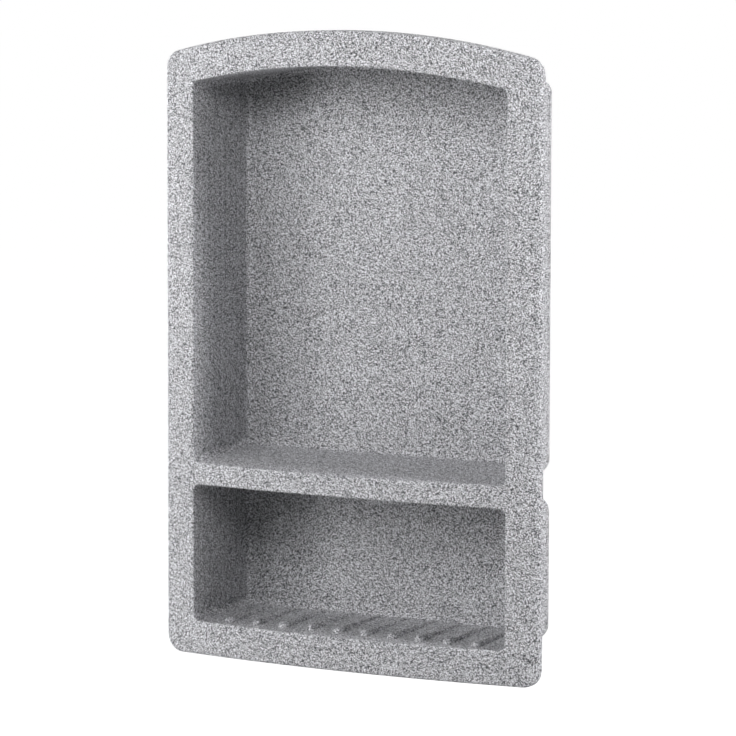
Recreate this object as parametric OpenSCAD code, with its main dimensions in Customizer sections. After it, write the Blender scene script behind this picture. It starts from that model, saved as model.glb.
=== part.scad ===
// Recessed shower shelf with an arched, bow-fronted frame, moulded in one piece.
// The origin is on the wall surface, at the middle of the frame's lower edge.
// +X runs to the right along the wall, +Y runs into the wall and +Z is up.

/* [Frame] */
// Width of the frame
frame_w = 381; // [360:1:420]
// Height of the frame at the crown of its arch
frame_h = 559; // [530:1:620]
// Rise of the arched top edge above its ends
arch_rise = 23.4; // [15:0.1:35]
// Width of the flat band beside and above the openings
band = 31; // [27:0.5:36]
// Height of the band below the lower opening
low_band = 29.7; // [27:0.1:34]
// Radius of the frame's four corners, seen from the front
corner_r = 16; // [10:0.5:24]
// How far the middle of the bowed face stands out past its side edges
bow = 15.5; // [8:0.5:24]
// Depth of the frame's return from the side edges of the face to the wall
return_depth = 5.5; // [5:0.1:12]

/* [Shell] */
// Thickness of the moulded wall
wall = 5.5; // [4.5:0.1:7]
// Radius of the frame's rounded front edge
edge_r = 3; // [2:0.1:4.5]
// Radius of the rounded edges of both openings
mouth_r = 1.6; // [1.2:0.1:3]
// Radius of the corners of both openings
opening_r = 6.5; // [6.2:0.1:12]
// Radius of the fillet between the side walls and the back of a niche
back_r = 5; // [3:0.1:6]

/* [Niches] */
// Depth of the niches behind the wall surface
niche_depth = 72; // [55:1:88]
// Height of the lower opening
lower_h = 123.9; // [100:0.1:150]
// Height of the shelf's front edge, between the two openings
shelf_h = 18.5; // [16:0.5:30]
// Draft of the side walls, in degrees
side_draft = 4; // [2:0.1:6]
// Fall of the shelf towards the front, in degrees
shelf_fall = 6; // [3:0.1:7]
// Fall of the lower floor towards the front, in degrees
floor_fall = 3.8; // [2:0.1:5]
// Draft of the soffit under the arch, in degrees
soffit_draft = 0.5; // [0:0.1:3]
// Draft of the soffit under the shelf, in degrees
ceiling_draft = 2.5; // [1:0.1:4]

/* [Drain ribs] */
// Number of ribs on the lower floor
rib_count = 10; // [6:1:11]
// Distance from one rib to the next
rib_pitch = 28; // [20:0.5:30]
// Width of a rib, which has a round top
rib_w = 9.5; // [7:0.5:11]
// Height of a rib's front end above the floor
rib_h = 4.4; // [2.5:0.1:4.7]
// Fall of the ribs towards the front, in degrees, which is less than the floor's
rib_fall = 1.2; // [0.5:0.1:2]
// Place of the ribs' front ends, behind the wall surface
rib_tip = -5.5; // [-8:0.5:10]

/* [Hidden] */
// Steps along the straight stretches, round a corner and across a rounded edge
across_steps = 24;
corner_steps = 7;
edge_steps = 5;
// Clearance by which a cutting shape runs past the face that it opens
overrun = 6;
// Depth to which a rib's root is sunk into the floor
rib_root = 1.5;

half_w = frame_w / 2;
face_y = -(return_depth + bow);
bow_r = (half_w * half_w + bow * bow) / (2 * bow);
arch_r = (half_w * half_w + arch_rise * arch_rise) / (2 * arch_rise);
arch_z = frame_h - arch_r;
niche_run = niche_depth - face_y;
shelf_top = low_band + lower_h + shelf_h;

// Niche outlines: half width, floor height, top height and whether the top is arched
upper_front = [half_w - band, shelf_top, frame_h - band, true];
lower_front = [half_w - band, low_band, low_band + lower_h, false];
upper_drafts = [side_draft, shelf_fall, soffit_draft];
lower_drafts = [side_draft, floor_fall, ceiling_draft];

// The bowed face's distance from the wall surface, at x
function bow_y(x) = face_y + bow_r - sqrt(bow_r * bow_r - x * x);

// The outline that a niche has narrowed to at its back
function drafted(size, drafts) = [
    size[0] - niche_run * tan(drafts[0]),
    size[1] + niche_run * tan(drafts[1]),
    size[2] - niche_run * tan(drafts[2]),
    size[3]
];

function grown(size, by) = [size[0] + by, size[1] - by, size[2] + by, size[3]];

// An outline is a closed loop of [x, z] points, with the low edge first, from left to right.
// Its top is flat, or an arc about the same centre as the frame's arch.
function stations(size, r) =
    let(inner = size[0] - r)
    concat(
        [for (i = [0 : corner_steps - 1]) -inner - r * cos(90 * i / corner_steps)],
        [for (i = [0 : across_steps]) -inner + 2 * inner * i / across_steps],
        [for (i = [corner_steps - 1 : -1 : 0]) inner + r * cos(90 * i / corner_steps)]
    );

function low_z(size, r, x) =
    let(past = max(0, abs(x) - (size[0] - r)))
    size[1] + r - sqrt(max(0, r * r - past * past));

function high_z(size, r, x) =
    let(
        inner = size[0] - r,
        past = max(0, abs(x) - inner),
        rt = size[2] - arch_z,
        arched = size[3],
        centre = arched ? arch_z + sqrt((rt - r) * (rt - r) - inner * inner) : size[2] - r,
        tangent = arched ? inner * rt / (rt - r) : inner
    )
    abs(x) > tangent ? centre + sqrt(max(0, r * r - past * past))
        : arched ? arch_z + sqrt(rt * rt - x * x)
        : size[2];

function outline(size, r) =
    let(xs = stations(size, r), last = len(xs) - 1)
    concat(
        [for (i = [0 : last]) [xs[i], low_z(size, r, xs[i])]],
        [for (i = [last : -1 : 0]) [xs[i], high_z(size, r, xs[i])]]
    );

// A ring of the frame: all of it at a depth below the bowed face, or at the wall surface
function bowed_ring(loop, depth) = [for (p = loop) [p[0], bow_y(p[0]) + depth, p[1]]];
function wall_ring(loop, y) = [for (p = loop) [p[0], y, p[1]]];

// A ring of a niche, which lies "out" outside its drafted walls with corners of radius r.
// It is at y behind the wall surface, or at y below the bowed face.
function niche_ring(size, drafts, out, r, y, on_face) =
    let(
        front = outline(grown(size, out), r),
        back = outline(grown(drafted(size, drafts), out), r)
    )
    [for (i = [0 : len(front) - 1])
        let(
            depth = on_face ? bow_y(front[i][0]) + y : y,
            share = (depth - face_y) / niche_run
        )
        [
            front[i][0] + (back[i][0] - front[i][0]) * share,
            depth,
            front[i][1] + (back[i][1] - front[i][1]) * share
        ]];

// Closed solid through a list of rings, from the front to the back, with strips across both ends
module loft(rings) {
    count = len(rings[0]);
    half = count / 2;
    last = len(rings) - 1;
    points = [for (ring = rings, p = ring) p];
    front_cap = [for (i = [0 : half - 2]) [count - 1 - i, count - 2 - i, i + 1, i]];
    back_cap = [for (q = front_cap) [for (k = [3 : -1 : 0]) q[k] + last * count]];
    sides = [for (j = [0 : last - 1], i = [0 : count - 1])
        let(a = j * count + i, b = j * count + (i + 1) % count)
        [b, b + count, a + count, a]];
    polyhedron(points = points, faces = concat(front_cap, back_cap, sides), convexity = 8);
}

// Solid block of the frame, with its bowed face and rounded front edge
module frame_block() {
    size = [half_w, 0, frame_h, true];
    loft(concat(
        [for (k = [edge_steps : -1 : 0])
            let(turn = 90 * k / edge_steps, inset = edge_r * (1 - cos(turn)))
            bowed_ring(outline(grown(size, -inset), corner_r - inset), edge_r * (1 - sin(turn)))],
        [wall_ring(outline(size, corner_r), 0)]
    ));
}

// The hollow behind the face, which leaves the moulded wall and its return to the wall surface
module frame_hollow() {
    loop = outline(grown([half_w, 0, frame_h, true], -wall), corner_r - wall);
    loft([bowed_ring(loop, wall), wall_ring(loop, overrun)]);
}

// Outside of a niche, from within the moulded face to its rounded back
module niche_shell(size, drafts) {
    r = back_r + wall;
    loft(concat(
        [niche_ring(size, drafts, wall, opening_r + wall, wall / 2, true)],
        [for (k = [0 : edge_steps])
            let(turn = 90 * k / edge_steps, inset = r * (1 - cos(turn)))
            niche_ring(size, drafts, wall - inset, opening_r + wall - inset * opening_r / r,
                niche_depth + wall - r * (1 - sin(turn)), false)]
    ));
}

// Inside of a niche: a mouth rounded on to the bowed face, drafted walls and a filleted back
module niche_space(size, drafts) {
    loft(concat(
        [niche_ring(size, drafts, mouth_r, opening_r + mouth_r, -overrun, true)],
        [for (k = [0 : edge_steps])
            let(turn = 90 * k / edge_steps, out = mouth_r * (1 - sin(turn)))
            niche_ring(size, drafts, out, opening_r + out, mouth_r * (1 - cos(turn)), true)],
        [for (k = [0 : edge_steps])
            let(turn = 90 * k / edge_steps, inset = back_r * (1 - cos(turn)))
            niche_ring(size, drafts, -inset, opening_r - inset,
                niche_depth - back_r * (1 - sin(turn)), false)]
    ));
}

// One drain rib: a round-topped bar with a round front end, nearly level on the sloping floor,
// so it gets lower towards the back wall. Its root is sunk into the floor by less than the wall.
module drain_rib() {
    r = (rib_w * rib_w / 4 + rib_h * rib_h) / (2 * rib_h);
    start = rib_tip + rib_w / 2;
    length = niche_depth - start;
    floor_z = low_band + (start - face_y) * tan(floor_fall);
    translate([0, start, floor_z])
        intersection() {
            rotate([rib_fall, 0, 0])
                translate([0, 0, rib_h - r]) {
                    rotate([-90, 0, 0])
                        cylinder(r = r, h = length, $fn = 48);
                    sphere(r = r, $fn = 48);
                }
            rotate([floor_fall, 0, 0])
                translate([-rib_w, -rib_w, -rib_root])
                    cube([2 * rib_w, length + 2 * rib_w, rib_root + 2 * rib_h]);
        }
}

module drain_ribs() {
    for (i = [0 : rib_count - 1])
        translate([(i - (rib_count - 1) / 2) * rib_pitch, 0, 0])
            drain_rib();
}

module recessed_shelf() {
    color("darkgray") {
        difference() {
            union() {
                difference() {
                    frame_block();
                    frame_hollow();
                }
                niche_shell(upper_front, upper_drafts);
                niche_shell(lower_front, lower_drafts);
            }
            niche_space(upper_front, upper_drafts);
            niche_space(lower_front, lower_drafts);
        }
        drain_ribs();
    }
}

recessed_shelf();
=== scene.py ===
"""Recessed shower shelf in speckled cast stone, modelled and dressed for a plain studio."""

import logging
import math
from collections.abc import Callable, Iterator
from contextlib import contextmanager
from dataclasses import dataclass, replace
from enum import Enum

import bmesh
import bpy
from mathutils import Matrix, Vector


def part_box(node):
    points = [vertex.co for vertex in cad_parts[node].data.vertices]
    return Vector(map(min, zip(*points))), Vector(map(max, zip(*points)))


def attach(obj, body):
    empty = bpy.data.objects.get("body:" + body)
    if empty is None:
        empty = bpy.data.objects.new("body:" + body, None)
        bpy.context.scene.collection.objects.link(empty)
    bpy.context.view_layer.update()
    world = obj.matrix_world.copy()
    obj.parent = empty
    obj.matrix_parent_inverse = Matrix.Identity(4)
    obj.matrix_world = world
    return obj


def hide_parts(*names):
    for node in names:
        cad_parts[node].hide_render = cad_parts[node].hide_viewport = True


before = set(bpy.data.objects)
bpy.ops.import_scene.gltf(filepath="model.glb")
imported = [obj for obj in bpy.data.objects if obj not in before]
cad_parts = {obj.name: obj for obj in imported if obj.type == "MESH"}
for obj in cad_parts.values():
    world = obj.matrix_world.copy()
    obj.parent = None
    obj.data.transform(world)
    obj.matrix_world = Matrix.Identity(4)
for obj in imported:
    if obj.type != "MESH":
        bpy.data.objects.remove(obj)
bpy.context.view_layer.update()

MM = 0.001
# How far apart two places may be and still count as the same place
NEAR = 0.01 * MM
# A bevel profile of this value is part of a circle
ROUND = 0.5
# A normal whose share along an axis is past this one faces along that axis
FACING = 0.9
SHELF_NODE = "recessed_shelf"

log = logging.getLogger("shelf")


class Kind(Enum):
    """What is selected in edit mode."""

    VERTEX = "VERT"
    EDGE = "EDGE"
    FACE = "FACE"


class Cut(Enum):
    """How one solid is combined with another."""

    JOIN = "UNION"
    TAKE_AWAY = "DIFFERENCE"


def only(piece: bpy.types.Object) -> None:
    """Selects one object alone and makes it active.

    Args:
        piece: The object to work on.
    """
    bpy.ops.object.select_all(action="DESELECT")
    piece.select_set(True)
    bpy.context.view_layer.objects.active = piece


@contextmanager
def editing(piece: bpy.types.Object, kind: Kind) -> Iterator[None]:
    """Opens a piece in edit mode with nothing selected, and closes it again.

    Args:
        piece: The mesh object to edit.
        kind: What is selected while it is open.
    """
    only(piece)
    bpy.ops.object.mode_set(mode="EDIT")
    bpy.ops.mesh.select_mode(type=kind.value)
    bpy.ops.mesh.select_all(action="DESELECT")
    try:
        yield
    finally:
        bpy.ops.object.mode_set(mode="OBJECT")


def pick(piece: bpy.types.Object, kind: Kind, wanted: Callable[..., bool]) -> int:
    """Selects what a test accepts, and nothing else, in a piece that is open in edit mode.

    Args:
        piece: The open mesh object.
        kind: Whether vertices, edges or faces are tested.
        wanted: The test, which is given one element.

    Returns:
        The number of elements selected.
    """
    mesh = bmesh.from_edit_mesh(piece.data)
    elements = {Kind.VERTEX: mesh.verts, Kind.EDGE: mesh.edges, Kind.FACE: mesh.faces}[kind]
    elements.index_update()
    bpy.ops.mesh.select_all(action="DESELECT")
    chosen = [element for element in elements if wanted(element)]
    for element in chosen:
        element.select_set(True)
    mesh.select_flush_mode()
    bmesh.update_edit_mesh(piece.data)
    return len(chosen)


def shift(piece: bpy.types.Object, wanted: Callable[..., bool], offset: Vector) -> None:
    """Moves the vertices that a test accepts, in a piece that is open in edit mode.

    Args:
        piece: The open mesh object.
        wanted: The test, which is given one vertex.
        offset: How far they move.
    """
    if pick(piece, Kind.VERTEX, wanted):
        bpy.ops.transform.translate(value=offset)


def combine(piece: bpy.types.Object, tool: bpy.types.Object, cut: Cut) -> None:
    """Joins a tool solid to a piece, or takes it away, and deletes the tool.

    Args:
        piece: The solid that stays.
        tool: The solid that is used up.
        cut: Whether the tool is joined or taken away.
    """
    only(piece)
    bpy.ops.object.modifier_add(type="BOOLEAN")
    modifier = piece.modifiers[-1]
    modifier.operation = cut.value
    modifier.solver = "EXACT"
    modifier.object = tool
    bpy.ops.object.modifier_apply(modifier=modifier.name)
    bpy.data.objects.remove(tool)


@dataclass(frozen=True)
class Arch:
    """The centre, in the XZ plane, of the frame's arched top and of the upper niche's top."""

    centre_z: float

    def height(self, x: float, crown: float) -> float:
        """Gives the height of an arc about the arch's centre.

        Args:
            x: The distance from the shelf's middle plane.
            crown: The arc's height at the middle plane.

        Returns:
            The arc's height at x.
        """
        radius = crown - self.centre_z
        return self.centre_z + math.sqrt(radius * radius - x * x)


@dataclass(frozen=True)
class Outline:
    """A closed outline seen from the front, with round corners and a flat or arched top."""

    half: float
    low: float
    high: float
    corner: float
    arch: Arch | None = None

    def grown(self, by: float) -> "Outline":
        """Gives the parallel outline, which lies outside this one where by is positive."""
        return replace(self, half=self.half + by, low=self.low - by, high=self.high + by,
                       corner=self.corner + by)

    def top(self, x: float) -> float:
        """Gives the height of the top edge at a distance x from the middle plane."""
        if self.arch is None:
            return self.high
        return self.arch.height(x, self.high)

    @property
    def middle(self) -> float:
        """A height that parts the top vertices from the bottom ones."""
        return (self.low + self.top(self.half)) / 2

    @property
    def slope(self) -> float:
        """The angle at which the top edge falls to the upper corners, in radians."""
        if self.arch is None:
            return 0.0
        return math.asin(self.half / (self.high - self.arch.centre_z))


@dataclass(frozen=True)
class Bow:
    """The upright cylinder that the front face bulges along."""

    radius: float
    face_y: float

    def depth(self, x: float) -> float:
        """Gives the y of the front face at a distance x from the middle plane."""
        return self.face_y + self.radius - math.sqrt(self.radius * self.radius - x * x)


@dataclass(frozen=True)
class Draft:
    """The slopes of a niche's walls towards its back, in degrees."""

    sides: float
    floor: float
    top: float


@dataclass(frozen=True)
class Moulding:
    """Sizes that every part of the moulding shares, in metres."""

    wall: float = 5.5 * MM
    edge_radius: float = 3 * MM
    mouth_radius: float = 1.6 * MM
    corner_radius: float = 16 * MM
    opening_radius: float = 6.5 * MM
    back_radius: float = 5 * MM
    overrun: float = 6 * MM
    column: float = 145 * MM
    columns: int = 26
    corner_steps: int = 9
    edge_steps: int = 7

    def stations(self) -> list[float]:
        """Gives the x of the upright lines that the face and both niches share."""
        step = 2 * self.column / self.columns
        return [-self.column + step * i for i in range(self.columns + 1)]


class Slab:
    """A flat outline on the face's foremost plane, which is grown into a solid."""

    PLACE_DIGITS = 6

    def __init__(self, name: str, outline: Outline, bow: Bow, stations: list[float],
                 shared: Moulding, draft: Draft = Draft(0, 0, 0)) -> None:
        """Draws the outline as upright strips, with its arch and its round corners.

        Args:
            name: The object's name.
            outline: The outline to draw.
            bow: The cylinder that the face follows.
            stations: The x of each line between two strips.
            shared: The moulding's shared sizes.
            draft: The slopes of the solid's walls.
        """
        self.outline = outline
        self.bow = bow
        self.shared = shared
        self.draft = draft
        height = outline.high - outline.low
        bpy.ops.object.select_all(action="DESELECT")
        bpy.ops.mesh.primitive_plane_add(
            size=1, location=(0, bow.face_y, outline.low + height / 2),
            rotation=(math.pi / 2, 0, 0),
        )
        self.piece = bpy.context.object
        self.piece.name = name
        self.piece.scale = (2 * outline.half, height, 1)
        bpy.ops.object.transform_apply(location=True, rotation=True, scale=True)
        with editing(self.piece, Kind.VERTEX):
            for x in stations:
                bpy.ops.mesh.select_all(action="SELECT")
                bpy.ops.mesh.bisect(plane_co=(x, 0, 0), plane_no=(1, 0, 0))
            if outline.arch is not None:
                self._shape_arch([-outline.half, *stations, outline.half])
            self._round_corners()

    def _shape_arch(self, places: list[float]) -> None:
        """Lowers the top vertices from the crown's height on to the arch.

        Args:
            places: The x of every vertex on the top edge.
        """
        crown = self.outline.high
        for x in places:
            shift(
                self.piece,
                lambda v: abs(v.co.x - x) < NEAR and v.co.z > crown - NEAR,
                Vector((0, 0, self.outline.top(x) - crown)),
            )

    def _round_corners(self) -> None:
        """Rounds the two lower corners, and then the two upper ones, which an arch widens."""
        outline = self.outline
        for upper in (False, True):
            angle = math.pi / 2 + (outline.slope if upper else 0)
            pick(
                self.piece,
                Kind.VERTEX,
                lambda v: abs(v.co.x) > outline.half - NEAR
                and (v.co.z > outline.middle) == upper,
            )
            bpy.ops.mesh.bevel(
                affect="VERTICES",
                offset=outline.corner / math.tan(angle / 2),
                segments=self.shared.corner_steps,
                profile=ROUND,
            )

    def _along_walls(self, side: int, upper: bool, distance: float) -> Vector:
        """Works out a move that keeps a vertex on its drafted walls.

        Args:
            side: -1 on the left wall, 1 on the right wall and 0 between them.
            upper: Whether the vertex is on the top of the outline.
            distance: How far it moves towards the wall.

        Returns:
            The move in all three directions.
        """
        inward = distance * math.tan(math.radians(self.draft.sides))
        if upper:
            climb = -distance * math.tan(math.radians(self.draft.top))
            climb += abs(side) * inward * math.tan(self.outline.slope)
        else:
            climb = distance * math.tan(math.radians(self.draft.floor))
        return Vector((-side * inward, distance, climb))

    def slide(self, moving: set[int], distance: float) -> None:
        """Moves vertices of the open solid towards the wall, along its drafted walls.

        Args:
            moving: The indices of the vertices.
            distance: How far they move.
        """
        edge = self.shared.column + NEAR
        groups: dict[tuple[int, bool], set[int]] = {}
        for vertex in bmesh.from_edit_mesh(self.piece.data).verts:
            if vertex.index in moving:
                side = (vertex.co.x > edge) - (vertex.co.x < -edge)
                group = (side, vertex.co.z > self.outline.middle)
                groups.setdefault(group, set()).add(vertex.index)
        for (side, upper), members in groups.items():
            move = self._along_walls(side, upper, distance)
            shift(self.piece, lambda v: v.index in members, move)

    def thicken(self, back_y: float) -> None:
        """Extrudes the outline to a flat back.

        Args:
            back_y: The y of the back.
        """
        with editing(self.piece, Kind.FACE):
            bpy.ops.mesh.select_all(action="SELECT")
            bpy.ops.mesh.extrude_region_move(TRANSFORM_OT_translate={"value": (0, 0, 0)})
            verts = bmesh.from_edit_mesh(self.piece.data).verts
            verts.index_update()
            self.slide({v.index for v in verts if v.select}, back_y - self.bow.face_y)
            bpy.ops.mesh.select_all(action="SELECT")
            bpy.ops.mesh.normals_make_consistent(inside=False)

    def reach_out(self, distance: float) -> None:
        """Moves the flat front out past the face, along the walls.

        Args:
            distance: How far it moves.
        """
        with editing(self.piece, Kind.VERTEX):
            self.slide(self._front(), -distance)

    def follow_face(self, below: float) -> None:
        """Moves the flat front back on to the bowed face, or to a depth below it.

        Args:
            below: The depth below the face.
        """
        with editing(self.piece, Kind.VERTEX):
            front = self._front()
            verts = bmesh.from_edit_mesh(self.piece.data).verts
            verts.ensure_lookup_table()
            columns: dict[float, set[int]] = {}
            for index in front:
                place = round(verts[index].co.x, self.PLACE_DIGITS)
                columns.setdefault(place, set()).add(index)
            for x, members in columns.items():
                self.slide(members, self.bow.depth(x) + below - self.bow.face_y)

    def _front(self) -> set[int]:
        """Finds the open solid's vertices that are still on the face's foremost plane."""
        verts = bmesh.from_edit_mesh(self.piece.data).verts
        verts.index_update()
        return {v.index for v in verts if v.co.y < self.bow.face_y + NEAR}


class BowedFrame:
    """The arched frame: a bowed face with a return to the wall, hollow behind."""

    def __init__(self, outline: Outline, bow: Bow, stations: list[float],
                 shared: Moulding) -> None:
        """Keeps the frame's sizes.

        Args:
            outline: The frame's outer outline.
            bow: The cylinder that the face follows.
            stations: The x of the lines between the face's strips.
            shared: The moulding's shared sizes.
        """
        self.outline = outline
        self.bow = bow
        self.stations = stations
        self.shared = shared

    def build(self) -> bpy.types.Object:
        """Models the frame.

        Returns:
            The frame as one solid, with sharp edges.
        """
        block = Slab("frame", self.outline, self.bow, self.stations, self.shared)
        block.thicken(0.0)
        block.follow_face(0.0)
        inner = self.outline.grown(-self.shared.wall)
        hollow = Slab("hollow", inner, self.bow, self.stations, self.shared)
        hollow.thicken(self.shared.overrun)
        hollow.follow_face(self.shared.wall)
        combine(block.piece, hollow.piece, Cut.TAKE_AWAY)
        return block.piece


class Niche:
    """One drafted niche, as the space inside it and the shell around that space."""

    def __init__(self, name: str, mouth: Outline, draft: Draft, depth: float, bow: Bow,
                 shared: Moulding) -> None:
        """Keeps the niche's sizes.

        Args:
            name: The niche's name.
            mouth: The outline of its walls where they would meet the face's foremost plane.
            draft: The slopes of its walls.
            depth: The y of its back.
            bow: The cylinder that the face follows.
            shared: The moulding's shared sizes.
        """
        self.name = name
        self.mouth = mouth
        self.draft = draft
        self.depth = depth
        self.bow = bow
        self.shared = shared

    def _round_back(self, slab: Slab, back_y: float, radius: float) -> None:
        """Fillets the edges between the walls and the back.

        Args:
            slab: The tapered solid.
            back_y: Where its back stands.
            radius: The fillet's radius.
        """
        with editing(slab.piece, Kind.EDGE):
            pick(
                slab.piece,
                Kind.EDGE,
                lambda e: all(v.co.y > back_y - NEAR for v in e.verts)
                and sum(face.normal.y > FACING for face in e.link_faces) == 1,
            )
            bpy.ops.mesh.bevel(affect="EDGES", offset=radius, segments=self.shared.edge_steps,
                               profile=ROUND)

    def _solid(self, name: str, outline: Outline, back_y: float, radius: float) -> Slab:
        """Models one drafted solid with a rounded back.

        Args:
            name: What the solid is.
            outline: Its outline on the face's foremost plane.
            back_y: Where its back stands.
            radius: The radius between its walls and its back.

        Returns:
            The solid, with a flat front.
        """
        slab = Slab(f"{self.name}_{name}", outline, self.bow, self.shared.stations(),
                    self.shared, self.draft)
        slab.thicken(back_y)
        self._round_back(slab, back_y, radius)
        return slab

    def shell(self) -> bpy.types.Object:
        """Models the outside of the niche, from within the face to its rounded back."""
        wall = self.shared.wall
        slab = self._solid("shell", self.mouth.grown(wall), self.depth + wall,
                           self.shared.back_radius + wall)
        slab.follow_face(wall / 2)
        return slab.piece

    def space(self) -> bpy.types.Object:
        """Models the space inside the niche, which runs out past the face."""
        slab = self._solid("space", self.mouth, self.depth, self.shared.back_radius)
        slab.reach_out(self.shared.overrun)
        return slab.piece


@dataclass(frozen=True)
class DrainRibs:
    """The round-topped ribs on the lower floor."""

    count: int = 10
    pitch: float = 28 * MM
    width: float = 9.5 * MM
    height: float = 4.4 * MM
    root: float = 1.5 * MM
    tip_y: float = -5.5 * MM
    fall: float = 1.2
    sides: int = 40
    dome_steps: int = 8

    def build(self, floor: Outline, bow: Bow, floor_fall: float,
              back_y: float) -> bpy.types.Object:
        """Models one rib, nearly level on the sloping floor, and copies it along the floor.

        Args:
            floor: The lower niche's outline, whose low edge is the floor's front.
            bow: The cylinder that the face follows.
            floor_fall: The floor's slope, in degrees.
            back_y: Where the ribs end, inside the back wall.

        Returns:
            All the ribs, as separate closed forms in one object.
        """
        radius = (self.width ** 2 / 4 + self.height ** 2) / (2 * self.height)
        start_y = self.tip_y + self.width / 2
        slope = math.radians(floor_fall)
        floor_z = floor.low + (start_y - bow.face_y) * math.tan(slope)
        axis_z = floor_z + self.height - radius
        length = back_y - start_y
        first_x = -self.pitch * (self.count - 1) / 2
        bpy.ops.object.select_all(action="DESELECT")
        bpy.ops.mesh.primitive_cylinder_add(
            vertices=self.sides, radius=radius, depth=length,
            location=(first_x, start_y + length / 2, axis_z), rotation=(math.pi / 2, 0, 0),
        )
        piece = bpy.context.object
        piece.name = "drain_ribs"
        bpy.ops.object.transform_apply(location=True, rotation=True, scale=True)
        self._round_tip(piece, radius, Vector((first_x, start_y, axis_z)))
        with editing(piece, Kind.FACE):
            bpy.ops.mesh.select_all(action="SELECT")
            bpy.ops.transform.rotate(value=-math.radians(self.fall), orient_axis="X",
                                     center_override=(first_x, start_y, floor_z))
            bpy.ops.mesh.bisect(plane_co=(0, start_y, floor_z - self.root),
                                plane_no=(0, -math.sin(slope), math.cos(slope)),
                                use_fill=True, clear_inner=True)
            bpy.ops.mesh.select_all(action="SELECT")
            for _ in range(self.count - 1):
                bpy.ops.mesh.duplicate_move(
                    TRANSFORM_OT_translate={"value": (self.pitch, 0, 0)}
                )
            bpy.ops.mesh.select_all(action="SELECT")
            bpy.ops.mesh.normals_make_consistent(inside=False)
        return piece

    def _round_tip(self, piece: bpy.types.Object, radius: float, centre: Vector) -> None:
        """Grows a round end on the front of a rib.

        Args:
            piece: The rib as a plain cylinder.
            radius: The cylinder's radius.
            centre: The middle of its front end.
        """
        with editing(piece, Kind.FACE):
            pick(piece, Kind.FACE, lambda f: f.normal.y < -FACING)
            reach, size = 0.0, 1.0
            for step in range(1, self.dome_steps):
                turn = math.pi / 2 * step / self.dome_steps
                bpy.ops.mesh.extrude_region_move(
                    TRANSFORM_OT_translate={"value": (0, reach - radius * math.sin(turn), 0)}
                )
                reach = radius * math.sin(turn)
                scale = math.cos(turn) / size
                bpy.ops.transform.resize(value=(scale, 1, scale), center_override=centre)
                size = math.cos(turn)
            bpy.ops.mesh.extrude_region_move(
                TRANSFORM_OT_translate={"value": (0, reach - radius, 0)}
            )
            bpy.ops.mesh.merge(type="CENTER")


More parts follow.
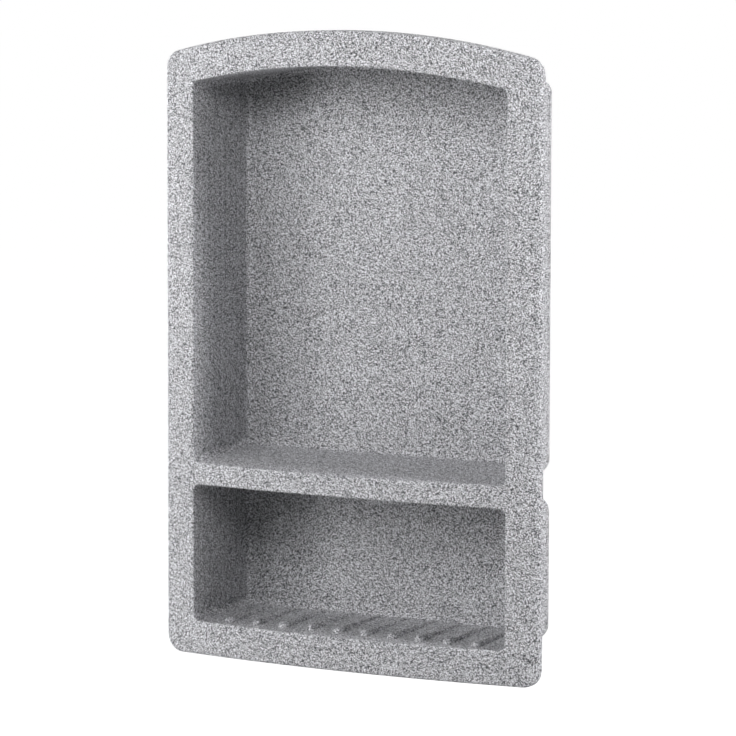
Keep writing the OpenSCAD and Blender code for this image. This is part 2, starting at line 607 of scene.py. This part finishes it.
class RecessedShelf:
    """The whole moulding: the frame, both niches and the drain ribs, as one solid."""

    # Sizes that the CAD node's box doesn't give
    RISE = 23.4 * MM
    BAND = 31 * MM
    LOW_BAND = 29.7 * MM
    BOW = 15.5 * MM
    LOWER_HEIGHT = 123.9 * MM
    SHELF_HEIGHT = 18.5 * MM
    UPPER_DRAFT = Draft(sides=4, floor=6, top=0.5)
    LOWER_DRAFT = Draft(sides=4, floor=3.8, top=2.5)
    SIDE_LINES = (165.5 * MM, 174 * MM)
    # How the edges are found, welded and shaded
    FACE_DEPTH_SLACK = MM / 5
    FIRST_WELD = MM / 200
    LAST_WELD = MM / 100
    SHARP_ANGLE = 45
    SMOOTH_ANGLE = 35
    FLAT_FACE_WEIGHT = 60

    def __init__(self, shared: Moulding) -> None:
        """Works out the outlines from the CAD node's box.

        Args:
            shared: The moulding's shared sizes.
        """
        low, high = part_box(SHELF_NODE)
        half, height = float(high[0]), float(high[2])
        self.shared = shared
        self.back_y = float(high[1]) - shared.wall
        self.bow = Bow(radius=(half ** 2 + self.BOW ** 2) / (2 * self.BOW), face_y=float(low[1]))
        radius = (half ** 2 + self.RISE ** 2) / (2 * self.RISE)
        arch = Arch(centre_z=height - radius)
        self.outer = Outline(half, 0.0, height, shared.corner_radius, arch)
        inner_half = half - self.BAND
        shelf_low = self.LOW_BAND + self.LOWER_HEIGHT
        self.upper = Outline(inner_half, shelf_low + self.SHELF_HEIGHT, height - self.BAND,
                             shared.opening_radius, arch)
        self.lower = Outline(inner_half, self.LOW_BAND, shelf_low, shared.opening_radius)

    def build(self) -> bpy.types.Object:
        """Models the shelf.

        Returns:
            The finished piece, which replaces the CAD node.
        """
        shared = self.shared
        lines = sorted(
            [*shared.stations(), *self.SIDE_LINES, *(-x for x in self.SIDE_LINES)]
        )
        piece = BowedFrame(self.outer, self.bow, lines, shared).build()
        niches = [
            Niche("upper", self.upper, self.UPPER_DRAFT, self.back_y, self.bow, shared),
            Niche("lower", self.lower, self.LOWER_DRAFT, self.back_y, self.bow, shared),
        ]
        for niche in niches:
            combine(piece, niche.shell(), Cut.JOIN)
        for niche in niches:
            combine(piece, niche.space(), Cut.TAKE_AWAY)
        self._round_front_edges(piece)
        ribs = DrainRibs().build(self.lower, self.bow, self.LOWER_DRAFT.floor, self.back_y)
        combine(piece, ribs, Cut.JOIN)
        piece.name = "cast_shelf"
        return piece

    def _round_front_edges(self, piece: bpy.types.Object) -> None:
        """Rounds the frame's front edge, and the mouths of both niches more tightly.

        Args:
            piece: The shelf with sharp edges.
        """

        def is_mouth(edge: bmesh.types.BMEdge) -> bool:
            """Tells whether an edge of the face belongs to a niche's mouth."""
            return all(
                abs(v.co.x) < self.upper.half + MM
                and self.lower.low - MM < v.co.z < self.upper.high + MM
                for v in edge.verts
            )

        def on_face(edge: bmesh.types.BMEdge) -> bool:
            """Tells whether an edge is sharp and lies on the bowed face."""
            level = all(
                abs(v.co.y - self.bow.depth(v.co.x)) < self.FACE_DEPTH_SLACK
                for v in edge.verts
            )
            sharp = math.radians(self.SHARP_ANGLE)
            return level and edge.is_manifold and edge.calc_face_angle() > sharp

        with editing(piece, Kind.EDGE):
            bpy.ops.mesh.select_all(action="SELECT")
            bpy.ops.mesh.remove_doubles(threshold=self.FIRST_WELD)
            for mouths, radius in ((False, self.shared.edge_radius),
                                   (True, self.shared.mouth_radius)):
                count = pick(piece, Kind.EDGE, lambda e: on_face(e) and is_mouth(e) == mouths)
                log.info("%s edges: %d", "mouth" if mouths else "frame", count)
                bpy.ops.mesh.bevel(affect="EDGES", offset=radius,
                                   segments=self.shared.edge_steps, profile=ROUND)

    def finish(self, piece: bpy.types.Object) -> None:
        """Shades the rounded edges smoothly and keeps the flat faces flat.

        Args:
            piece: The modelled shelf.
        """
        with editing(piece, Kind.VERTEX):
            bpy.ops.mesh.select_all(action="SELECT")
            bpy.ops.mesh.remove_doubles(threshold=self.LAST_WELD)
        only(piece)
        bpy.ops.object.shade_smooth_by_angle(angle=math.radians(self.SMOOTH_ANGLE))
        bpy.ops.object.modifier_add(type="WEIGHTED_NORMAL")
        modifier = piece.modifiers[-1]
        modifier.keep_sharp = True
        modifier.weight = self.FLAT_FACE_WEIGHT
        bpy.ops.object.modifier_apply(modifier=modifier.name)


class NodeBoard:
    """A node tree that is filled one labelled node at a time."""

    def __init__(self, tree: bpy.types.NodeTree) -> None:
        """Takes the tree and clears it.

        Args:
            tree: The material's, world's or group's node tree.
        """
        self.tree = tree
        tree.nodes.clear()

    def add(self, kind: str, label: str, **settings: object) -> bpy.types.Node:
        """Adds a node.

        Args:
            kind: The node's type.
            label: What it is for.
            settings: Its properties.

        Returns:
            The new node.
        """
        node = self.tree.nodes.new(kind)
        node.label = label
        for key, value in settings.items():
            setattr(node, key, value)
        return node

    def join(self, source: bpy.types.NodeSocket, target: bpy.types.NodeSocket) -> None:
        """Links an output to an input."""
        self.tree.links.new(source, target)

    def maths(self, operation: str, label: str, first: bpy.types.NodeSocket,
              second: bpy.types.NodeSocket | float) -> bpy.types.NodeSocket:
        """Adds a maths node.

        Args:
            operation: The sum that it does.
            label: What it is for.
            first: Its first value.
            second: Its second value, as a socket or a number.

        Returns:
            The result's socket.
        """
        node = self.add("ShaderNodeMath", label, operation=operation)
        self.join(first, node.inputs[0])
        if isinstance(second, bpy.types.NodeSocket):
            self.join(second, node.inputs[1])
        else:
            node.inputs[1].default_value = second
        return node.outputs[0]


@dataclass(frozen=True)
class MineralGrains:
    """The group that packs a surface with mineral grains, each with a shade of its own."""

    name: str = "mineral_grains"
    noise_middle: tuple[float, float, float] = (0.5, 0.5, 0.5)

    def group(self) -> bpy.types.NodeTree:
        """Builds the group, or gives the one that is already there.

        Returns:
            The node group, with a shade from 0 to 1 and a height for each point.
        """
        if self.name in bpy.data.node_groups:
            return bpy.data.node_groups[self.name]
        tree = bpy.data.node_groups.new(self.name, "ShaderNodeTree")
        sides = tree.interface
        sides.new_socket("Vector", in_out="INPUT", socket_type="NodeSocketVector")
        sides.new_socket("Grains Per Metre", in_out="INPUT", socket_type="NodeSocketFloat")
        sides.new_socket("Waviness", in_out="INPUT", socket_type="NodeSocketFloat")
        sides.new_socket("Shade", in_out="OUTPUT", socket_type="NodeSocketFloat")
        sides.new_socket("Height", in_out="OUTPUT", socket_type="NodeSocketFloat")
        board = NodeBoard(tree)
        given = board.add("NodeGroupInput", "given")
        result = board.add("NodeGroupOutput", "result")
        wave = board.add("ShaderNodeTexNoise", "uneven packing")
        wave.inputs["Detail"].default_value = 1.0
        board.join(given.outputs["Vector"], wave.inputs["Vector"])
        board.join(given.outputs["Grains Per Metre"], wave.inputs["Scale"])
        centred = board.add("ShaderNodeVectorMath", "centred", operation="SUBTRACT")
        centred.inputs[1].default_value = self.noise_middle
        board.join(wave.outputs["Color"], centred.inputs[0])
        push = board.add("ShaderNodeVectorMath", "push", operation="SCALE")
        board.join(centred.outputs[0], push.inputs[0])
        board.join(given.outputs["Waviness"], push.inputs["Scale"])
        placed = board.add("ShaderNodeVectorMath", "placed", operation="ADD")
        board.join(given.outputs["Vector"], placed.inputs[0])
        board.join(push.outputs[0], placed.inputs[1])
        cells = board.add("ShaderNodeTexVoronoi", "grains", feature="F1")
        cells.inputs["Randomness"].default_value = 1.0
        board.join(placed.outputs[0], cells.inputs["Vector"])
        board.join(given.outputs["Grains Per Metre"], cells.inputs["Scale"])
        shade = board.add("ShaderNodeSeparateColor", "a shade for each grain")
        board.join(cells.outputs["Color"], shade.inputs[0])
        dome = board.maths("MULTIPLY", "dome", cells.outputs["Distance"], -1.0)
        board.join(shade.outputs[0], result.inputs["Shade"])
        board.join(dome, result.inputs["Height"])
        return tree


@dataclass(frozen=True)
class SpeckledStone:
    """Cast stone with a fine black and white speckle in a cool grey."""

    slot: str = "solid_surface"
    dark: tuple[float, float, float] = (0.03, 0.03, 0.035)
    light: tuple[float, float, float] = (0.905, 0.905, 0.94)
    fine_grains: float = 1800.0
    coarse_grains: float = 900.0
    coarse_share: float = 0.25
    waviness: float = 0.6
    dark_shade: float = 0.365
    light_shade: float = 0.635
    specular: float = 0.15
    roughest: float = 0.62
    smoothest: float = 0.48
    relief: float = 0.02 * MM
    relief_strength: float = 0.5

    def _grains(self, board: NodeBoard, place: bpy.types.NodeSocket, label: str,
                per_metre: float) -> bpy.types.Node:
        """Places the grain group once.

        Args:
            board: The material's board.
            place: The coordinates.
            label: Which grains these are.
            per_metre: How many there are in a metre.

        Returns:
            The group's node.
        """
        node = board.add("ShaderNodeGroup", label, node_tree=MineralGrains().group())
        node.inputs["Grains Per Metre"].default_value = per_metre
        node.inputs["Waviness"].default_value = self.waviness / per_metre
        board.join(place, node.inputs["Vector"])
        return node

    def build(self) -> bpy.types.Material:
        """Builds the material.

        Returns:
            The finished material.
        """
        stone = bpy.data.materials.new("speckled_cast_stone")
        stone.use_nodes = True
        board = NodeBoard(stone.node_tree)
        output = board.add("ShaderNodeOutputMaterial", "surface")
        shader = board.add("ShaderNodeBsdfPrincipled", "cast stone")
        shader.inputs["Specular IOR Level"].default_value = self.specular
        board.join(shader.outputs[0], output.inputs["Surface"])
        place = board.add("ShaderNodeTexCoord", "place").outputs["Object"]
        fine = self._grains(board, place, "sand", self.fine_grains)
        coarse = self._grains(board, place, "chips", self.coarse_grains)
        share = board.maths("MULTIPLY", "share of chips", coarse.outputs["Shade"],
                            self.coarse_share)
        rest = board.maths("MULTIPLY", "share of sand", fine.outputs["Shade"],
                           1 - self.coarse_share)
        mixed = board.maths("ADD", "speckle", share, rest)
        ramp = board.add("ShaderNodeValToRGB", "mineral colours")
        dark_end, light_end = ramp.color_ramp.elements
        dark_end.color = (*self.dark, 1)
        dark_end.position = self.dark_shade
        light_end.color = (*self.light, 1)
        light_end.position = self.light_shade
        board.join(mixed, ramp.inputs[0])
        board.join(ramp.outputs[0], shader.inputs["Base Color"])
        gloss = board.add("ShaderNodeMapRange", "grains take the polish unevenly")
        gloss.inputs["To Min"].default_value = self.roughest
        gloss.inputs["To Max"].default_value = self.smoothest
        board.join(fine.outputs["Shade"], gloss.inputs["Value"])
        board.join(gloss.outputs[0], shader.inputs["Roughness"])
        bump = board.add("ShaderNodeBump", "pebbled skin")
        bump.inputs["Distance"].default_value = self.relief
        bump.inputs["Strength"].default_value = self.relief_strength
        board.join(fine.outputs["Height"], bump.inputs["Height"])
        board.join(bump.outputs[0], shader.inputs["Normal"])
        return stone


@dataclass(frozen=True)
class SoftBox:
    """A round studio lamp that faces the middle of the shelf."""

    name: str
    azimuth: float
    elevation: float
    power: float
    size: float = 1.2
    distance: float = 2.5

    def place(self, target: Vector) -> None:
        """Hangs the lamp.

        Args:
            target: The point that it faces.
        """
        turn, climb = math.radians(self.azimuth), math.radians(self.elevation)
        towards = Vector((
            math.sin(turn) * math.cos(climb),
            -math.cos(turn) * math.cos(climb),
            math.sin(climb),
        ))
        bpy.ops.object.select_all(action="DESELECT")
        bpy.ops.object.light_add(type="AREA", location=target + towards * self.distance)
        lamp = bpy.context.object
        lamp.name = self.name
        lamp.rotation_euler = towards.to_track_quat("Z", "Y").to_euler()
        lamp.data.shape = "DISK"
        lamp.data.size = self.size
        lamp.data.energy = self.power
        lamp.data.cycles.max_bounces = 1


@dataclass(frozen=True)
class Studio:
    """The pale floor, the white surroundings, the lamps and the camera."""

    lamps: tuple[SoftBox, ...]
    floor_z: float = -0.45
    floor_size: float = 60.0
    floor_shade: float = 0.5
    glow_near: float = 0.8
    whiter_from: float = 0.6
    white_at: float = 2.2
    target: tuple[float, float, float] = (0.0, 0.0, 0.28)
    camera_place: tuple[float, float, float] = (1.92825, -3.18983, 0.65359)
    camera_turn: float = 30.93
    camera_tilt: float = 5.955
    camera_roll: float = 0.126
    focal_length: float = 210.22
    sensor_width: float = 36.0
    camera_shift: tuple[float, float] = (-0.0009, 0.0006)
    sight: float = 200.0

    def _seen(self, board: NodeBoard) -> bpy.types.NodeSocket:
        """Finds the rays that show the background: straight, mirrored or seen through glass."""
        path = board.add("ShaderNodeLightPath", "what looks at it")
        both = board.maths("MAXIMUM", "seen or mirrored", path.outputs["Is Camera Ray"],
                           path.outputs["Is Glossy Ray"])
        return board.maths("MAXIMUM", "seen", both, path.outputs["Is Transmission Ray"])

    def lay_floor(self) -> None:
        """Lays a floor that turns from pale, with the shadow on it, to white far away."""
        bpy.ops.object.select_all(action="DESELECT")
        bpy.ops.mesh.primitive_plane_add(size=self.floor_size, location=(0, 0, self.floor_z))
        floor = bpy.context.object
        floor.name = "studio_floor"
        paint = bpy.data.materials.new("pale_floor")
        paint.use_nodes = True
        board = NodeBoard(paint.node_tree)
        output = board.add("ShaderNodeOutputMaterial", "surface")
        matt = board.add("ShaderNodeBsdfDiffuse", "matt paint")
        matt.inputs["Color"].default_value = (self.floor_shade,) * 3 + (1,)
        glow = board.add("ShaderNodeEmission", "white to the eye")
        place = board.add("ShaderNodeTexCoord", "place")
        far = board.add("ShaderNodeVectorMath", "distance", operation="LENGTH")
        board.join(place.outputs["Object"], far.inputs[0])
        fade = board.add("ShaderNodeMapRange", "whiter far away")
        fade.inputs["From Min"].default_value = self.whiter_from
        fade.inputs["From Max"].default_value = self.white_at
        fade.inputs["To Min"].default_value = self.glow_near
        board.join(far.outputs["Value"], fade.inputs["Value"])
        strength = board.maths("MULTIPLY", "only where seen", fade.outputs[0],
                               self._seen(board))
        board.join(strength, glow.inputs["Strength"])
        both = board.add("ShaderNodeAddShader", "floor")
        board.join(matt.outputs[0], both.inputs[0])
        board.join(glow.outputs[0], both.inputs[1])
        board.join(both.outputs[0], output.inputs["Surface"])
        floor.data.materials.append(paint)

    def surround(self) -> None:
        """Gives the world white to the eye, and no light of its own on the object."""
        world = bpy.data.worlds.new("white_surroundings")
        bpy.context.scene.world = world
        world.use_nodes = True
        board = NodeBoard(world.node_tree)
        output = board.add("ShaderNodeOutputWorld", "surroundings")
        sky = board.add("ShaderNodeBackground", "white")
        sky.inputs["Color"].default_value = (1, 1, 1, 1)
        board.join(self._seen(board), sky.inputs["Strength"])
        board.join(sky.outputs[0], output.inputs["Surface"])

    def set_camera(self) -> None:
        """Puts the camera where the shelf was seen from."""
        bpy.ops.object.select_all(action="DESELECT")
        bpy.ops.object.camera_add()
        camera = bpy.context.object
        camera.name = "front_right_camera"
        camera.data.lens = self.focal_length
        camera.data.sensor_width = self.sensor_width
        camera.data.shift_x, camera.data.shift_y = self.camera_shift
        camera.data.clip_end = self.sight
        camera.matrix_world = (
            Matrix.Translation(self.camera_place)
            @ Matrix.Rotation(math.radians(self.camera_turn), 4, "Z")
            @ Matrix.Rotation(math.radians(90 - self.camera_tilt), 4, "X")
            @ Matrix.Rotation(math.radians(self.camera_roll), 4, "Z")
        )
        bpy.context.scene.camera = camera

    def build(self) -> None:
        """Builds the studio."""
        self.lay_floor()
        self.surround()
        for lamp in self.lamps:
            lamp.place(Vector(self.target))
        self.set_camera()
        bpy.context.scene.view_settings.view_transform = "Standard"


def main() -> None:
    """Builds the shelf, gives it its finish and sets up the studio."""
    logging.basicConfig(level=logging.INFO, format="%(message)s")
    shelf = RecessedShelf(Moulding())
    piece = shelf.build()
    shelf.finish(piece)
    stone = SpeckledStone()
    piece.data.materials.clear()
    piece.data.materials.append(stone.build())
    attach(piece, "root")
    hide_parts(SHELF_NODE)
    log.info("%s: %d faces", piece.name, len(piece.data.polygons))
    Studio(lamps=(
        SoftBox("key_left", -45, 5, 12.2, size=0.8),
        SoftBox("key_middle", -25, 20, 10.7, size=0.8),
        SoftBox("low_left", -50, -15, 3.3, size=0.5, distance=1.8),
        SoftBox("near_right", 15, 35, 6.3, size=0.5, distance=1.5),
        SoftBox("close_front", -5, 30, 0.7, size=0.3, distance=0.9),
        SoftBox("close_top", -5, 50, 0.5, size=0.3, distance=0.9),
        SoftBox("left_edge", -90, 0, 44.0, size=0.5),
        SoftBox("right_edge_low", 90, 0, 18.9, size=0.5),
        SoftBox("right_edge_high", 90, 30, 33.5, size=0.5),
        SoftBox("back_fill", 180, 15, 18.0, size=0.8),
    )).build()
    log.info("studio: floor, surroundings, lamps and camera")


if __name__ == "__main__":
    main()
